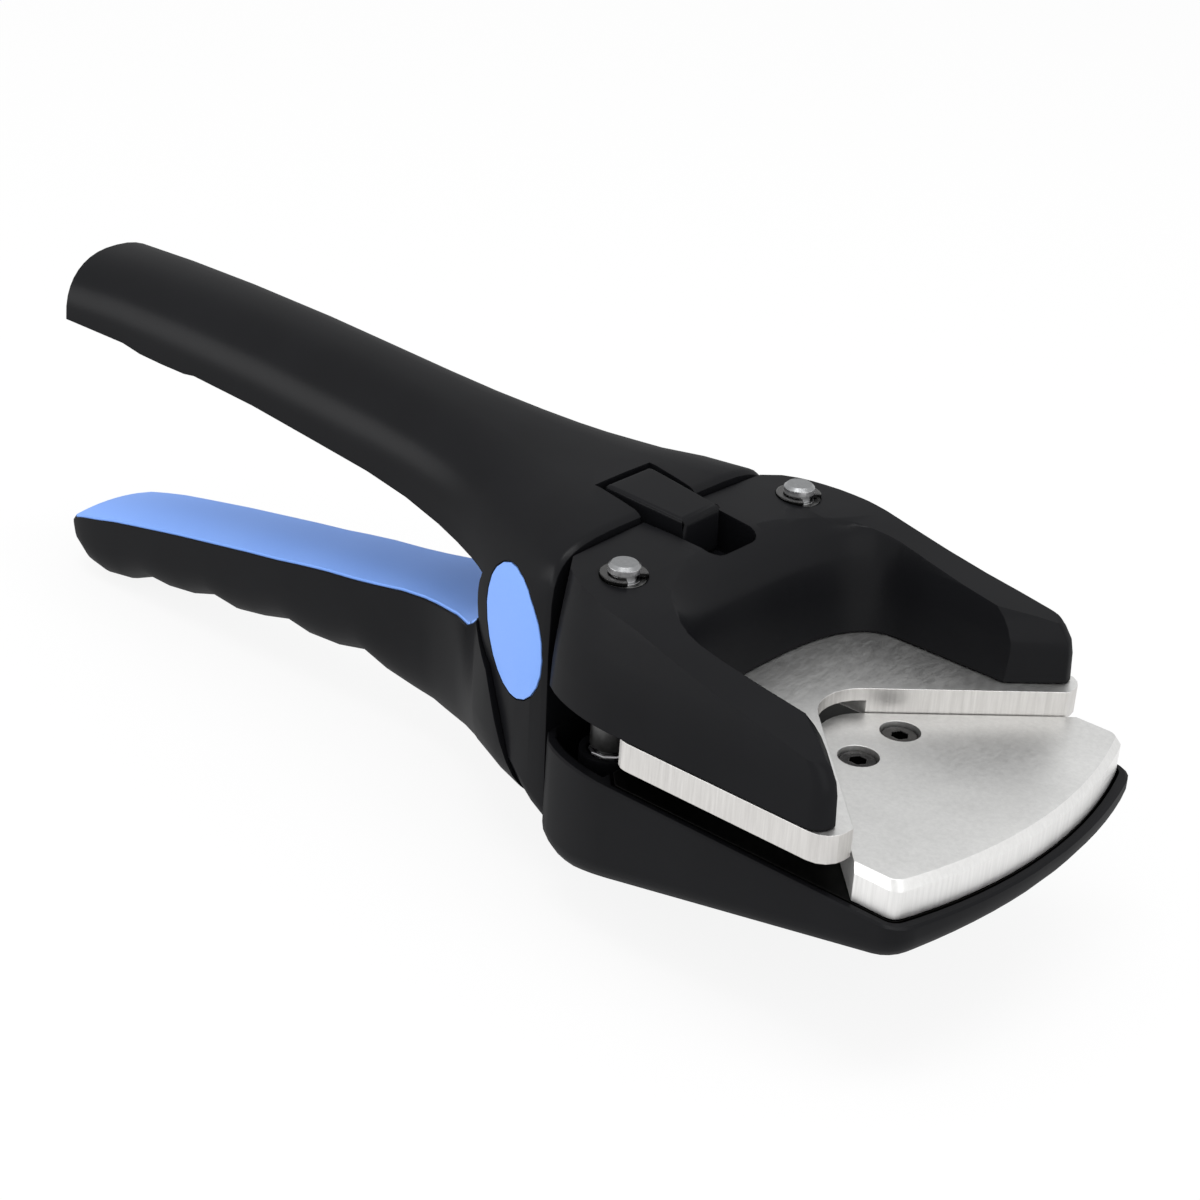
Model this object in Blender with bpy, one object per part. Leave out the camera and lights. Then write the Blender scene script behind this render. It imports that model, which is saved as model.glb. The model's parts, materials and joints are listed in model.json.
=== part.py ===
"""Hand-held corner rounder: a steel die under a sliding head with a V-shaped blade plate, closed by a squeeze lever.

Metres, +Z up, +X towards the front. The die's top face is the plane z = 0. Places along X are first counted from the
point where the two fences of the blade plate would meet, and the root empty then moves that point back, so that the
model's origin lies on the die's top face, midway between its two screws.
"""
import math

import bmesh
import bpy
from mathutils import Matrix, Vector

# Sizes shared by several pieces
SEAT_GAP = 0.0003
RUN_GAP = 0.0004
OVERRUN = 0.005
EDGE_ROUND = 0.0008

# Die block
CORNER_RADIUS = 0.0100
SHEAR_GAP = 0.0003
DIE_HEIGHT = 0.0070
DIE_HALF_WIDTH = 0.0364
DIE_CORNER_ROUND = 0.0022
DIE_SIDE_LENGTH = 0.0086
DIE_BULGE = 0.0062
DIE_CHAMFER = 0.0009
DIE_CHAMFER_DEPTH = 0.0017
DIE_SCREW_FORWARD = 0.0162
DIE_SCREW_SPREAD = 0.0131

# Blade plate under the head
BLADE_THICKNESS = 0.0055
BLADE_OVERLAP = 0.0005
BLADE_BACK = 0.0130
BLADE_LIP = 0.0022
BLADE_ROUND = 0.0035
BLADE_TIP_ROUND = 0.0045
WEB_THICKNESS = 0.0025
RELIEF_HALF_WIDTH = 0.0076
RELIEF_BACK = 0.0026
BLADE_SCREW_INSET = 0.0064
BLADE_SCREW_BACK = 0.0060
BLADE_SCREW_FRONT = 0.0200

# Base plate, with the clippings hole that runs on through the frame
PLATE_THICKNESS = 0.0030
PLATE_BACK = 0.0178
PLATE_CHAMFER = 0.0030
PLATE_GROOVE = 0.0005
CHUTE_BACK = 0.0100
CHUTE_LENGTH = 0.0150
CHUTE_HALF_WIDTH = 0.0090
CHUTE_ROUND = 0.0025
BASE_SCREW_INSET = 0.0094
BASE_SCREW_BACK = 0.0110
BASE_SCREW_FRONT = 0.0360

# Frame: the base round the plate
RIM_WALL = 0.0015
RIM_EDGE = 0.0004
BASE_FRONT_DEPTH = 0.0063
BASE_REAR_DEPTH = 0.0237
BASE_EDGE_ROUND = 0.0050
BASE_CORNER_ROUND = 0.0050
FLANK_LENGTH = 0.0200
FLANK_DEPTH = 0.0075
TROUGH_FRONT = 0.0180
TROUGH_DEPTH = 0.0110
TROUGH_WALL = 0.0024

# Frame: the neck and the upper handle
SEAM_BACK = 0.0360
NECK_FOOT_INSET = 0.0011
NECK_TOP = 0.0282
HANDLE_LENGTH = 0.1599
HANDLE_HALF_WIDTH = 0.0144
HANDLE_TOP = 0.0385
HANDLE_EDGE = 0.0240
HANDLE_WALL = 0.0026
EDGE_DIP = 0.0008
NECK_WALL = 0.0024
CHEEK_WALL = 0.0103
SLOT_HALF_WIDTH = 0.0080
SLOT_FORWARD = 0.0005
SLOT_SILL = 0.0115

# Head block
HEAD_OVERHANG = 0.0042
HEAD_BACK = 0.0353
HEAD_FLANK_DEPTH = 0.0092
HEAD_FLANK_LENGTH = 0.0210
HEAD_TOP = 0.0284
HEAD_CROWN = 0.0014
HEAD_LEAN = 0.0040
ARM_TOP_DROP = 0.0125
ARM_FRONT_ROUND = 0.0060
ARM_LEDGE = 0.0030
ARM_END_WIDTH = 0.0085
ARM_WIDTH = 0.0126
RECESS_BACK = 0.0112
RECESS_BEND = 0.0118
RECESS_FLARE_BACK = 0.0120
RECESS_FLARE_SIDE = 0.0066
POCKET_FRONT = 0.0189
POCKET_FRONT_HALF_WIDTH = 0.0070
POCKET_ROUND = 0.0030

# Guide pins, their bushes, clips and springs
PIN_BACK = 0.0247
PIN_INSET = 0.0147
PIN_DIAMETER = 0.0060
PIN_TOP = 0.0299
PIN_CHAMFER = 0.0006
PIN_ROOT = 0.0040
CLIP_DIAMETER = 0.0088
CLIP_SUNK = 0.0013
CLIP_THICKNESS = 0.0008
CLIP_MOUTH = 0.0034
GROOVE_DEPTH = 0.0007
CLIP_RECESS_DIAMETER = 0.0091
BUSH_WALL = 0.0010
BUSH_CLEARANCE = 0.0001
BUSH_DROP = 0.0122
SPRING_WIRE = 0.0008
SPRING_LENGTH = 0.0116
WELL_WALL = 0.0014
WELL_TOP = 0.0080

# Squeeze lever, its arm and its pins
PIVOT_BACK = 0.0480
PIVOT_HEIGHT = 0.0085
HUB_RADIUS = 0.0080
HUB_GAP = 0.0006
HUB_SIDE_GAP = 0.0013
ARM_HUB_RADIUS = 0.0076
AXLE_DIAMETER = 0.0060
AXLE_INSET = 0.0062
AXLE_CLEARANCE = 0.0002
SEAM_RADIUS = 0.0132
SEAM_GAP = 0.0006
LEVER_LENGTH = 0.1570
LEVER_DROP = 0.0400
GRIP_HALF_WIDTH = 0.0110
PAD_DEPTH = 0.0016
PAD_LIP = 0.0006
PAD_CROWN = 0.0008
ARM_HALF_WIDTH = 0.0068
ARM_HEIGHT = 0.0235
NOSE_HALF_WIDTH = 0.0053
NOSE_REACH = 0.0203
NOSE_TOP = 0.0220
NOSE_FLOOR = 0.0118
NOSE_RADIUS = 0.0020
TAIL_LENGTH = 0.0260
TAIL_RADIUS = 0.0040
TAIL_PIN_SHIFT = 0.0070
TAIL_PIN_DIAMETER = 0.0040
TAIL_PIN_HALF_LENGTH = 0.0120
HUB_DEGREES = (-95, 150)
ARM_HUB_DEGREES = (15, 120)
TAIL_DEGREES = 222.0

# Oval caps over the axle's ends
CAP_HEIGHT = 0.0262
CAP_WIDTH = 0.0200
CAP_THICKNESS = 0.0024
CAP_INSET = 0.0018
CAP_LEAN_DEGREES = 12.0
CAP_TURN_DEGREES = 16.0

# Screws
SCREW_DIAMETER = 0.0040
SCREW_HEAD_DIAMETER = 0.0070
SCREW_HEAD_HEIGHT = 0.0040
SCREW_SUNK = 0.0008
COUNTERBORE_DIAMETER = 0.0077
SOCKET_ACROSS_FLATS = 0.0030
SOCKET_DEPTH = 0.0020
SCREW_EDGE = 0.0003
LOW_HEAD_HEIGHT = 0.0022
LOW_SOCKET_DEPTH = 0.0012
FLAT_SOCKET_ACROSS = 0.0025
BASE_FLOOR = 0.0026
FLAT_HEAD_HEIGHT = 0.0021
DIE_SCREW_LENGTH = 0.0090
BLADE_SCREW_LENGTH = 0.0110
BASE_SCREW_LENGTH = 0.0056

# Levels and places worked out from the sizes above
DIE_CENTRE = CORNER_RADIUS * math.sqrt(2)
DIE_BACK_SHIFT = SHEAR_GAP * math.sqrt(2)
BASE_HALF_WIDTH = DIE_HALF_WIDTH + PLATE_GROOVE + RIM_WALL
DIE_FRONT_CORNER = DIE_HALF_WIDTH + SHEAR_GAP * math.sqrt(2) + DIE_SIDE_LENGTH
BASE_FRONT = DIE_FRONT_CORNER + DIE_BULGE + PLATE_GROOVE + RIM_WALL
NECK_HALF_WIDTH = BASE_HALF_WIDTH - FLANK_DEPTH + NECK_FOOT_INSET
CAVITY_HALF_WIDTH = NECK_HALF_WIDTH - CHEEK_WALL
AXLE_HALF_LENGTH = NECK_HALF_WIDTH - AXLE_INSET
HEAD_HALF_WIDTH = DIE_HALF_WIDTH + HEAD_OVERHANG
HEAD_FRONT = HEAD_HALF_WIDTH - ARM_END_WIDTH
RECESS_HALF_WIDTH = HEAD_HALF_WIDTH - ARM_WIDTH
BLADE_TIP = HEAD_FRONT + BLADE_LIP
PIN_SIDE = HEAD_HALF_WIDTH - PIN_INSET
BLADE_SCREW_SIDE = HEAD_HALF_WIDTH - BLADE_SCREW_INSET
BASE_SCREW_SIDE = DIE_HALF_WIDTH - BASE_SCREW_INSET
PLATE_TOP = -DIE_HEIGHT - SEAT_GAP
PLATE_BOTTOM = PLATE_TOP - PLATE_THICKNESS
BLADE_TOP = BLADE_THICKNESS - BLADE_OVERLAP
HEAD_BOTTOM = BLADE_TOP + SEAT_GAP
POCKET_FLOOR = PIVOT_HEIGHT + NOSE_FLOOR - SEAT_GAP
PIN_RADIUS = PIN_DIAMETER / 2
CLIP_BOTTOM = HEAD_TOP - CLIP_SUNK
BUSH_RADIUS = PIN_RADIUS + BUSH_CLEARANCE + BUSH_WALL
BUSH_BOTTOM = HEAD_BOTTOM - BUSH_DROP
SPRING_RADIUS = BUSH_RADIUS - BUSH_WALL / 2 + SEAT_GAP
WELL_RADIUS = SPRING_RADIUS + SPRING_WIRE / 2 + SEAT_GAP
WELL_FLOOR = BUSH_BOTTOM - SEAT_GAP - SPRING_LENGTH - SEAT_GAP

# Counts
EDGE_STEPS = 4
SECTION_STEPS = 20
BEND_STEPS = 10
ARC_STEPS = 8
ROUND_STEPS = 24
SPRING_TURNS = 6
SPRING_STEPS = 10

# Shares along the upper handle, from the neck's seam to the free end: place, width between the handle's and the
# neck's, top between the neck's and the handle's, height of the widest line, and squareness of the shoulders
HANDLE_SHARES = (
    (0.000, 1.00, 0.107, 0.00, 0.80),
    (0.004, 1.00, 0.165, 0.00, 0.80),
    (0.009, 1.00, 0.205, 0.00, 0.78),
    (0.029, 0.98, 0.270, 0.00, 0.55),
    (0.062, 0.90, 0.360, 0.00, 0.38),
    (0.111, 0.73, 0.400, 0.08, 0.24),
    (0.146, 0.60, 0.441, 0.18, 0.20),
    (0.180, 0.45, 0.478, 0.30, 0.18),
    (0.217, 0.33, 0.541, 0.42, 0.13),
    (0.260, 0.22, 0.615, 0.51, 0.09),
    (0.328, 0.11, 0.694, 0.61, 0.06),
    (0.402, 0.06, 0.775, 0.71, 0.03),
    (0.508, 0.03, 0.890, 0.80, 0.00),
    (0.619, 0.01, 0.976, 0.89, 0.00),
    (0.768, 0.00, 1.030, 0.96, 0.00),
    (0.892, 0.00, 1.020, 1.00, 0.00),
    (1.000, 0.01, 0.960, 1.00, 0.00),
)
SHOULDER_POWERS = (2.35, 6.5)

# Shares of the upper handle's lower edge: place along the handle, height between the pivot and the free end's edge,
# and how much of the dip for the middle finger
HANDLE_EDGE_SHARES = (
    (1.000, 1.00, 0.0),
    (0.880, 0.99, 0.0),
    (0.845, 0.98, 0.9),
    (0.800, 0.97, 1.0),
    (0.755, 0.96, 0.8),
    (0.735, 0.95, 0.0),
    (0.619, 0.89, 0.0),
    (0.508, 0.79, 0.0),
    (0.402, 0.70, 0.0),
    (0.328, 0.61, 0.0),
    (0.260, 0.52, 0.0),
    (0.217, 0.47, 0.0),
    (0.180, 0.43, 0.0),
    (0.160, 0.42, 0.0),
)

# Shares of the base's underside, from its front to the lever's seam: place and depth
BELLY_SHARES = (
    (0.000, 0.000),
    (0.719, 0.895),
    (0.760, 0.945),
    (0.800, 0.965),
    (0.840, 0.940),
    (0.880, 0.865),
    (0.920, 0.760),
    (0.960, 0.640),
    (1.000, 0.520),
)

# Shares of the head's top along its length: place from the rear, and drop
HEAD_TOP_SHARES = (
    (0.000, 0.000),
    (0.090, 0.015),
    (0.200, 0.060),
    (0.290, 0.110),
    (0.350, 0.165),
    (0.430, 0.275),
    (0.560, 0.445),
    (0.690, 0.590),
    (0.800, 0.690),
    (0.900, 0.790),
    (1.000, 0.920),
)

# Shares up the head's outside: height, lean of the sides, set-back of the arms' ends
HEAD_SIDE_SHARES = (
    (0.00, 0.00, 0.00),
    (0.24, 0.10, 0.05),
    (0.34, 0.18, 0.13),
    (0.44, 0.28, 0.38),
    (0.52, 0.37, 0.68),
    (0.58, 0.44, 1.00),
    (0.80, 0.72, 1.80),
    (1.00, 1.00, 2.20),
)

# Shares up the head's recess: height, flare of its back, flare of its sides
RECESS_SHARES = (
    (0.00, 0.00, 0.00),
    (0.38, 0.05, 0.13),
    (0.64, 0.15, 0.30),
    (0.77, 0.28, 0.42),
    (0.86, 0.46, 0.57),
    (0.93, 0.71, 0.77),
    (0.98, 1.00, 1.00),
)

# Shares along the squeeze lever, from its pivot to its tip: place, drop of its top, drop of its underside, width
# between the grip's and the neck's
LEVER_SHARES = (
    (-0.020, 0.100, 0.940, 0.92),
    (0.020, 0.100, 0.915, 0.86),
    (0.050, 0.100, 0.910, 0.77),
    (0.082, 0.100, 0.935, 0.64),
    (0.091, 0.129, 0.948, 0.59),
    (0.105, 0.175, 0.965, 0.51),
    (0.135, 0.260, 1.010, 0.34),
    (0.175, 0.300, 1.050, 0.16),
    (0.225, 0.330, 1.050, 0.05),
    (0.253, 0.345, 1.035, 0.01),
    (0.295, 0.365, 1.020, 0.00),
    (0.340, 0.400, 0.990, 0.00),
    (0.385, 0.430, 0.930, 0.00),
    (0.440, 0.460, 0.983, 0.00),
    (0.490, 0.495, 0.997, 0.00),
    (0.535, 0.530, 0.968, 0.00),
    (0.590, 0.565, 1.028, 0.00),
    (0.640, 0.600, 1.065, 0.00),
    (0.690, 0.635, 1.042, 0.00),
    (0.740, 0.670, 1.108, 0.00),
    (0.785, 0.705, 1.133, 0.00),
    (0.830, 0.740, 1.128, 0.00),
    (0.880, 0.780, 1.213, 0.00),
    (0.922, 0.822, 1.238, 0.00),
    (0.955, 0.855, 1.215, -0.02),
    (0.980, 0.890, 1.130, -0.06),
    (0.993, 0.925, 1.040, -0.12),
    (1.000, 0.950, 0.995, -0.22),
)

# Shares of smaller outlines
FOOT_SHARE = 0.965
BELLY_START_SHARE = 0.333
SLOT_KNEE_SHARE = 0.5
WEB_TOP_SHARE = 0.2
CORNER_SHARE = 0.293
FLANK_POWER = 1.7
END_ROUND_SHARES = (0.20, 0.78)
RECESS_POWER = 2.7
LEVER_POWERS = (2.5, 4.6)
SHARP_DEGREES = 40.0
WELD_DISTANCE = 1e-6
SEAM_START_DEGREES = 152.0
SEAM_END_DEGREES = 238.0
SEAM_FOOT_SHARES = (0.62, 1.79)
HUB_FOOT_SHARES = (0.62, 2.30)
ARM_BACK_SHARES = ((0.02, 0.80), (-0.16, 0.44))
ARM_TOP_SHARES = ((0.09, 1.00), (0.26, 0.99), (0.46, 0.975))
PAD_PLACES = (0.085, 0.985)
ARM_THROAT_SHARES = ((0.47, 0.505), (0.39, 0.38))


def clear_scene():
    for old in list(bpy.data.objects):
        bpy.data.objects.remove(old, do_unlink=True)


def material(name, colour, metallic, roughness):
    made = bpy.data.materials.new(name)
    made.use_nodes = True
    shader = made.node_tree.nodes["Principled BSDF"]
    shader.inputs["Base Color"].default_value = (*colour, 1.0)
    shader.inputs["Metallic"].default_value = metallic
    shader.inputs["Roughness"].default_value = roughness
    made.diffuse_color = (*colour, 1.0)
    return made


def empty(name, parent, place):
    made = bpy.data.objects.new(name, None)
    bpy.context.scene.collection.objects.link(made)
    made.parent = parent
    made.location = place
    return made


def link(name, mesh, parent, place):
    made = bpy.data.objects.new(name, mesh)
    bpy.context.scene.collection.objects.link(made)
    made.parent = parent
    made.location = place
    return made


def mesh_of(name, shape):
    """Turns a bmesh into a mesh with its faces pointing out."""
    bmesh.ops.recalc_face_normals(shape, faces=shape.faces)
    mesh = bpy.data.meshes.new(name)
    shape.to_mesh(mesh)
    shape.free()
    mesh.shade_smooth()
    mesh.set_sharp_from_angle(angle=math.radians(SHARP_DEGREES))
    return mesh


def piece(name, shape, parent, surface, place=(0, 0, 0)):
    made = link(name, mesh_of(name, shape), parent, place)
    made.data.materials.append(surface)
    return made


def copies(names, shape, parent, surface, places):
    """Pieces that share one mesh, each an object of its own."""
    mesh = mesh_of(names[0], shape)
    mesh.materials.append(surface)
    return [link(name, mesh, parent, place) for name, place in zip(names, places)]


def cutter(name, shape, parent, place=(0, 0, 0)):
    mesh = shape if isinstance(shape, bpy.types.Mesh) else mesh_of(name, shape)
    made = link(name, mesh, parent, place)
    made.hide_render = True
    made.display_type = "WIRE"
    return made


def combine(target, other, operation):
    step = target.modifiers.new(other.name, "BOOLEAN")
    step.operation = operation
    step.object = other
    step.solver = "EXACT"


def cut(target, *others):
    for other in others:
        combine(target, other, "DIFFERENCE")


def join(target, *others):
    for other in others:
        combine(target, other, "UNION")


def stack(rings, closed_ends=True):
    """Bridges rings of points, all with the same count, and caps the first and the last."""
    shape = bmesh.new()
    rows = [[shape.verts.new(point) for point in ring] for ring in rings]
    count = len(rows[0])
    for lower, upper in zip(rows, rows[1:]):
        for at in range(count):
            after = (at + 1) % count
            shape.faces.new((lower[at], lower[after], upper[after], upper[at]))
    if closed_ends:
        shape.faces.new(rows[0])
        shape.faces.new(rows[-1])
    return shape


def laddered_stack(rings):
    """A stack whose ends are capped by one face for each two pairs of points that face across Y = 0."""
    shape = stack(rings, closed_ends=False)
    shape.verts.ensure_lookup_table()
    count = len(rings[0])
    for ring in (shape.verts[:count], shape.verts[-count:]):
        for at in range(count // 2 - 1):
            shape.faces.new((ring[at], ring[at + 1], ring[-at - 2], ring[-at - 1]))
    return shape


def upright(outline, low, high):
    """A prism along Z from an outline in X and Y."""
    return stack([[(x, y, z) for x, y in outline] for z in (low, high)])


def across(outline, near, far):
    """A prism along Y from an outline in X and Z."""
    return stack([[(x, y, z) for x, z in outline] for y in (near, far)])


def turned(profile, steps=ROUND_STEPS):
    """A solid of revolution about Z. The profile's points are radius and height."""
    shape = bmesh.new()
    points = [shape.verts.new((radius, 0, height)) for radius, height in profile]
    edges = [shape.edges.new(pair) for pair in zip(points, points[1:])]
    bmesh.ops.spin(
        shape,
        geom=points + edges,
        cent=(0, 0, 0),
        axis=(0, 0, 1),
        angle=2 * math.pi,
        steps=steps,
        use_merge=True,
    )
    bmesh.ops.remove_doubles(shape, verts=shape.verts, dist=WELD_DISTANCE)
    return shape


def rod(radius, low, high):
    return turned([(0, low), (radius, low), (radius, high), (0, high)])


def lying(shape):
    """Turns a shape about Z into one about Y."""
    bmesh.ops.rotate(shape, verts=shape.verts, cent=(0, 0, 0), matrix=Matrix.Rotation(math.pi / 2, 3, "X"))
    return shape


def arc(centre, radius, start, end, steps=ARC_STEPS):
    """Points on a circle between two angles in degrees."""
    angles = [math.radians(start + (end - start) * at / steps) for at in range(steps + 1)]
    return [(centre[0] + radius * math.cos(a), centre[1] + radius * math.sin(a)) for a in angles]


def bulged(side, front, bulge, steps=2 * ARC_STEPS):
    """A shallow arc from the right side to the left one that swells forward by bulge."""
    radius = (side * side + bulge * bulge) / (2 * bulge)
    reach = math.asin(side / radius)
    angles = [reach * (2 * at / steps - 1) for at in range(steps + 1)]
    return [(front + bulge - radius * (1 - math.cos(a)), radius * math.sin(a)) for a in angles]


def rounded(corners, steps=EDGE_STEPS):
    """An outline from corners of X, Y and radius."""
    outline = []
    for at, (x, y, radius) in enumerate(corners):
        here = Vector((x, y))
        if not radius:
            outline.append((x, y))
            continue
        before = (Vector(corners[at - 1][:2]) - here).normalized()
        after = (Vector(corners[(at + 1) % len(corners)][:2]) - here).normalized()
        half_angle = before.angle(after) / 2
        middle = here + (before + after).normalized() * radius / math.sin(half_angle)
        start = here + before * radius / math.tan(half_angle) - middle
        end = here + after * radius / math.tan(half_angle) - middle
        for step in range(steps + 1):
            share = step / steps
            spoke = start.normalized().slerp(end.normalized(), share)
            outline.append(tuple(middle + spoke * radius))
    return outline


def bowed(side, front, bulge, radius):
    """The bulged front between two straight sides, with rounded corners, from right to left."""
    bow = bulged(side, front, bulge)
    right = rounded([(front - side, -side, 0), (front, -side, radius), (*bow[1], 0)])[1:-1]
    return right + bow[1:-1] + [(x, -y) for x, y in reversed(right)]


def mirrored(half):
    """The whole outline from its half with Y above zero, listed from the front to the rear."""
    return half + [(x, -y) for x, y in reversed(half)]


def flank(length, depth, front, side, steps=ARC_STEPS):
    """The curve by which a plan outline draws in towards its rear."""
    points = []
    for at in range(steps + 1):
        share = at / steps
        drawn_in = 1 - (1 - share**FLANK_POWER) ** (1 / FLANK_POWER)
        points.append((front - length * share, side - depth * drawn_in))
    return points


def between(table, place, column):
    """A column's value at a place in a table of shares, read along straight lines."""
    for lower, upper in zip(table, table[1:]):
        if place <= upper[0]:
            part = (place - lower[0]) / (upper[0] - lower[0])
            return lower[column] + part * (upper[column] - lower[column])
    return table[-1][column]


# The die and the plates
def die_outline(inset=0):
    """The die seen from above: a round nose at the rear, two sides at 45 degrees and a bowed front."""
    side = DIE_HALF_WIDTH - inset
    bow = bowed(side, DIE_FRONT_CORNER - inset, DIE_BULGE, DIE_CORNER_ROUND)
    rear = DIE_HALF_WIDTH - inset + DIE_BACK_SHIFT
    nose = arc((DIE_CENTRE, 0), CORNER_RADIUS - SHEAR_GAP, 135, 225)
    return bow + [(rear, side)] + nose + [(rear, -side)]


def plate_outline(grow=0):
    """The base plate seen from above: the die's front, straight sides and chamfered rear corners."""
    side = DIE_HALF_WIDTH + grow
    rear = -PLATE_BACK - grow
    bow = bowed(side, DIE_FRONT_CORNER + grow, DIE_BULGE, DIE_CORNER_ROUND + grow)
    corner = [(rear + PLATE_CHAMFER, side), (rear, side - PLATE_CHAMFER)]
    return bow + corner + [(x, -y) for x, y in reversed(corner)]


def chute_outline(grow=0):
    side = CHUTE_HALF_WIDTH + grow
    rear = -CHUTE_BACK - grow
    front = rear + CHUTE_LENGTH + 2 * grow
    corners = ((rear, -side), (front, -side), (front, side), (rear, side))
    return rounded([(x, y, CHUTE_ROUND + grow) for x, y in corners])


def blade_outline():
    """The blade plate seen from above: two fences at 90 degrees that meet in a hollow arc."""
    half = rounded(
        [
            (BLADE_TIP, BLADE_TIP, 0),
            (BLADE_TIP, HEAD_HALF_WIDTH, BLADE_TIP_ROUND),
            (-BLADE_BACK, HEAD_HALF_WIDTH, BLADE_ROUND),
            (-BLADE_BACK, 0, 0),
        ]
    )[:-1]
    nose = arc((DIE_CENTRE, 0), CORNER_RADIUS, 225, 135)
    return half + [(x, -y) for x, y in reversed(half)] + nose


# The frame
def base_half_outline(inset=0):
    """Half the base seen from above, from the middle of its front to its rear end inside the neck."""
    side = BASE_HALF_WIDTH - inset
    corner = DIE_FRONT_CORNER + PLATE_GROOVE + RIM_WALL - inset
    radius = BASE_CORNER_ROUND - inset * CORNER_SHARE
    half = [point for point in bowed(side, corner, DIE_BULGE, radius) if point[1] > 0]
    rear = flank(FLANK_LENGTH, FLANK_DEPTH, FLANK_LENGTH - SEAM_BACK, side)
    end_x, end_y = rear[-1]
    inner = [(end_x - NECK_WALL * share, end_y - FLANK_DEPTH * share) for share in (1, 2)]
    return half + rear + inner


def belly(x):
    """The height of the base's underside at a place along X."""
    share = min(1, max(0, (BASE_FRONT - x) / (BASE_FRONT + PIVOT_BACK)))
    fall = (BASE_REAR_DEPTH - BASE_FRONT_DEPTH) * between(BELLY_SHARES, share, 1)
    return PLATE_TOP - BASE_FRONT_DEPTH - fall


def base_shape():
    """The base's outer form: plan outlines stacked from the rim down to the sloping underside."""
    outer = mirrored(base_half_outline())
    edge = mirrored(base_half_outline(RIM_EDGE))
    rings = [[(x, y, PLATE_TOP) for x, y in edge], [(x, y, PLATE_TOP - RIM_EDGE) for x, y in outer]]
    for step in range(EDGE_STEPS + 1):
        turn = math.pi / 2 * step / EDGE_STEPS
        inset = BASE_EDGE_ROUND * (1 - math.cos(turn))
        lift = BASE_EDGE_ROUND * (1 - math.sin(turn))
        ring = []
        for x, y in mirrored(base_half_outline(inset)):
            inside_neck = NECK_WALL if x < -SEAM_BACK else 0
            ring.append((x, y, belly(x) + lift + inside_neck))
        rings.append(ring)
    return laddered_stack(rings)


def handle_section(row, shrink=0, widest=NECK_HALF_WIDTH):
    """One cross-section of the neck and the handle: an arch over straight sides with rounded lower corners."""
    place, width, rise, waist, square = row
    x = -SEAM_BACK - HANDLE_LENGTH * place
    half = min(widest, HANDLE_HALF_WIDTH + (NECK_HALF_WIDTH - HANDLE_HALF_WIDTH) * width - shrink)
    top = NECK_TOP + (HANDLE_TOP - NECK_TOP) * rise - shrink
    middle = PIVOT_HEIGHT + (HANDLE_EDGE - PIVOT_HEIGHT) * waist
    power = SHOULDER_POWERS[0] + (SHOULDER_POWERS[1] - SHOULDER_POWERS[0]) * square
    points = []
    for step in range(SECTION_STEPS + 1):
        turn = math.pi * step / SECTION_STEPS
        across_share = math.copysign(abs(math.cos(turn)) ** (2 / power), math.cos(turn))
        points.append((x, half * across_share, middle + (top - middle) * math.sin(turn) ** (2 / power)))
    foot = half * FOOT_SHARE
    low = belly(x)
    left = [(x, -foot, low + BASE_EDGE_ROUND)]
    left.append((x, -foot + BASE_EDGE_ROUND * CORNER_SHARE, low + BASE_EDGE_ROUND * CORNER_SHARE))
    left.append((x, -foot + BASE_EDGE_ROUND, low))
    return points + left + [(x, -y, z) for _, y, z in reversed(left)]


def neck_shape():
    return stack([handle_section(row) for row in HANDLE_SHARES])


def channel_shape():
    """The inside of the upper handle and of the neck, longer than both."""
    rings = [handle_section(row, HANDLE_WALL, CAVITY_HALF_WIDTH) for row in HANDLE_SHARES]
    last = [(x - OVERRUN, y, z) for x, y, z in rings[-1]]
    return stack(rings + [last])


def handle_edge():
    """The upper handle's lower edge, from its free end to the neck."""
    points = []
    for place, rise, dip in HANDLE_EDGE_SHARES:
        height = PIVOT_HEIGHT + (HANDLE_EDGE - PIVOT_HEIGHT) * rise - EDGE_DIP * dip
        points.append((-SEAM_BACK - HANDLE_LENGTH * place, height))
    return points


def seam_line(grow=0):
    """The joint between the cheeks and the lever: an arc about the pivot, then a straight run down."""
    curve = arc((-PIVOT_BACK, PIVOT_HEIGHT), SEAM_RADIUS + grow, SEAM_START_DEGREES, SEAM_END_DEGREES)
    across_share, down_share = SEAM_FOOT_SHARES
    foot = (-PIVOT_BACK + SEAM_RADIUS * across_share - grow, PIVOT_HEIGHT - BASE_REAR_DEPTH * down_share)
    return curve + [foot]


def understroke_shape():
    """What is cut away under the upper handle and behind the cheeks."""
    edge = handle_edge()
    seam = seam_line()
    far = edge[0][0] - OVERRUN
    low = seam[-1][1]
    outline = [(far, edge[0][1])] + edge[1:] + seam + [(far, low)]
    reach = NECK_HALF_WIDTH + OVERRUN
    return across(outline, -reach, reach)


def cavity_shape():
    """The side view of the space that the hub swings in. It only keeps the channel out of the solid base."""
    hub = arc((-PIVOT_BACK, PIVOT_HEIGHT), HUB_RADIUS + HUB_GAP, 0, -90)
    foot = (-PIVOT_BACK - HUB_RADIUS * HUB_FOOT_SHARES[0], PIVOT_HEIGHT - HUB_RADIUS * HUB_FOOT_SHARES[1])
    far = -SEAM_BACK - HANDLE_LENGTH - 2 * OVERRUN
    high = HANDLE_TOP + OVERRUN
    outline = [(far, high), (hub[0][0], high)] + hub + [foot, (far, foot[1])]
    reach = NECK_HALF_WIDTH + OVERRUN
    return across(outline, -reach, reach)


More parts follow.
